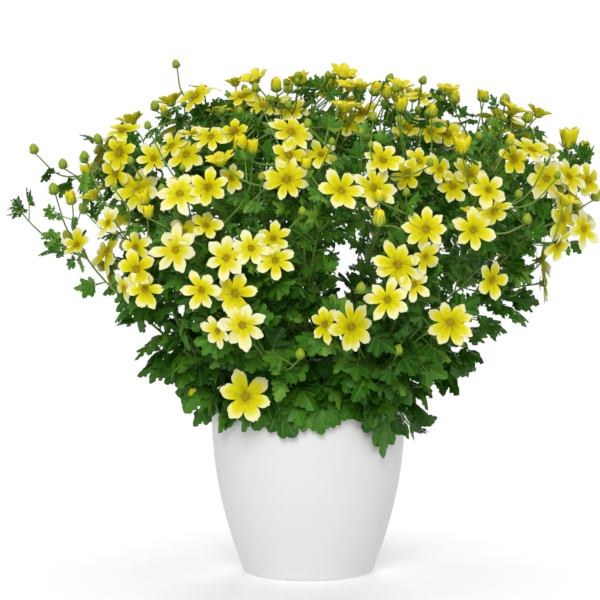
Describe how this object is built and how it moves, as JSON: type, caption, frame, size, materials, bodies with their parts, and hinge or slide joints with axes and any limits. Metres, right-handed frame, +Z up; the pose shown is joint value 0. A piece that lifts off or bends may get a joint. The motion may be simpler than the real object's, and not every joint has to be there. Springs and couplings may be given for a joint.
{
  "type": "potted bidens",
  "caption": "Bushy bidens in a white bell-shaped pot: thin leafy stems fan out of the soil and carry yellow daisy-like blooms with cream petal tips, and green buds",
  "frame": {"origin": "centre of the pot's flat foot", "axes": "+Z is up along the pot's axis; the side seen in the picture faces -Y, and +X is to its right"},
  "size_m": [0.5204, 0.4582, 0.4493],
  "materials": {
    "pot_plastic": "satin white moulded plastic",
    "potting_soil": "dark moist potting soil",
    "foliage": "soft matt green leaves and stems",
    "petals": "soft yellow petals with cream tips"
  },
  "bodies": {
    "root": {"blooms_01": "petals", "blooms_02": "petals", "blooms_03": "petals", "blooms_04": "petals", "blooms_05": "petals", "blooms_06": "petals", "blooms_07": "petals", "blooms_08": "petals", "blooms_09": "petals", "blooms_10": "petals", "blooms_11": "petals", "blooms_12": "petals", "blooms_13": "petals", "blooms_14": "petals", "blooms_15": "petals", "blooms_16": "petals", "blooms_17": "petals", "blooms_18": "petals", "blooms_19": "petals", "blooms_20": "petals", "blooms_21": "petals", "blooms_22": "petals", "blooms_23": "petals", "blooms_24": "petals", "blooms_25": "petals", "blooms_26": "petals", "blooms_27": "petals", "blooms_28": "petals", "blooms_29": "petals", "blooms_30": "petals", "blooms_31": "petals", "blooms_32": "petals", "blooms_33": "petals", "blooms_34": "petals", "blooms_35": "petals", "blooms_36": "petals", "blooms_37": "petals", "blooms_38": "petals", "blooms_39": "petals", "blooms_40": "petals", "blooms_41": "petals", "blooms_42": "petals", "blooms_43": "petals", "leafy_stem_01": "foliage", "leafy_stem_02": "foliage", "leafy_stem_03": "foliage", "leafy_stem_04": "foliage", "leafy_stem_05": "foliage", "leafy_stem_06": "foliage", "leafy_stem_07": "foliage", "leafy_stem_08": "foliage", "leafy_stem_09": "foliage", "leafy_stem_10": "foliage", "leafy_stem_11": "foliage", "leafy_stem_12": "foliage", "leafy_stem_13": "foliage", "leafy_stem_14": "foliage", "leafy_stem_15": "foliage", "pot": "pot_plastic", "soil": "potting_soil"}
  },
  "joints": []
}
